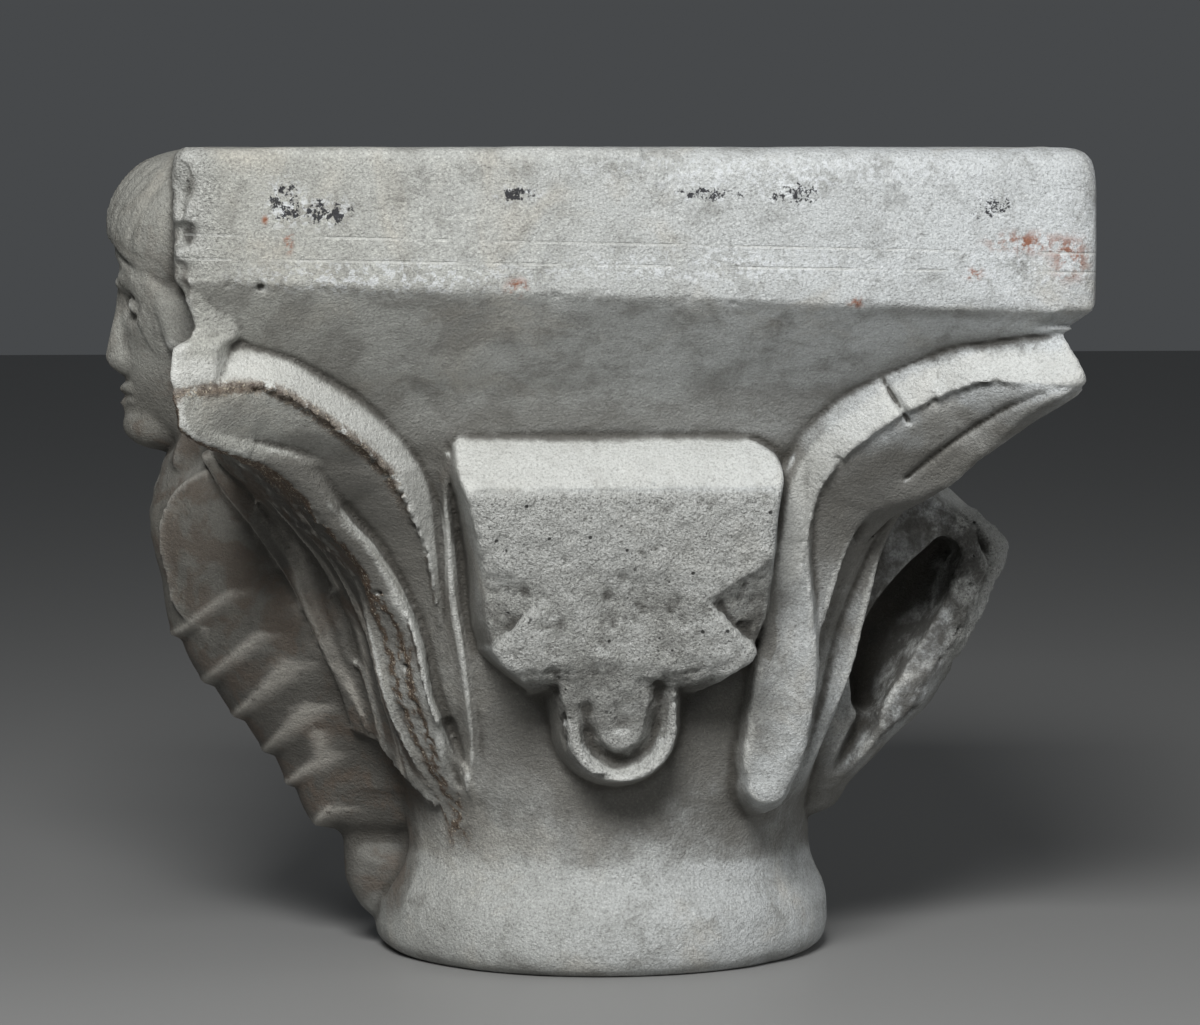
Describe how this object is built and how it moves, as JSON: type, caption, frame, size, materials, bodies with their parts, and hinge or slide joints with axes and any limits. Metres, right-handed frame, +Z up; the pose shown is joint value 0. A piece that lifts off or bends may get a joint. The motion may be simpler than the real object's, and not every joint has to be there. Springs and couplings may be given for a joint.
{
  "type": "historiated capital",
  "caption": "Square-topped carved stone capital with winged figures on its sides, tapering to a round foot that sits on a column shaft.",
  "frame": {"origin": "middle of the lower bed, where the capital sits on its shaft", "axes": "+Z up through the middle of the square top; -Y is the front, with the broken panel; -X is the side with the whole figure"},
  "size_m": [0.3891, 0.3618, 0.339],
  "materials": {
    "marble": "weathered, fine-grained grey-white marble with dull brown crust in its hollows"
  },
  "bodies": {
    "root": {"capital": "marble"}
  },
  "joints": []
}
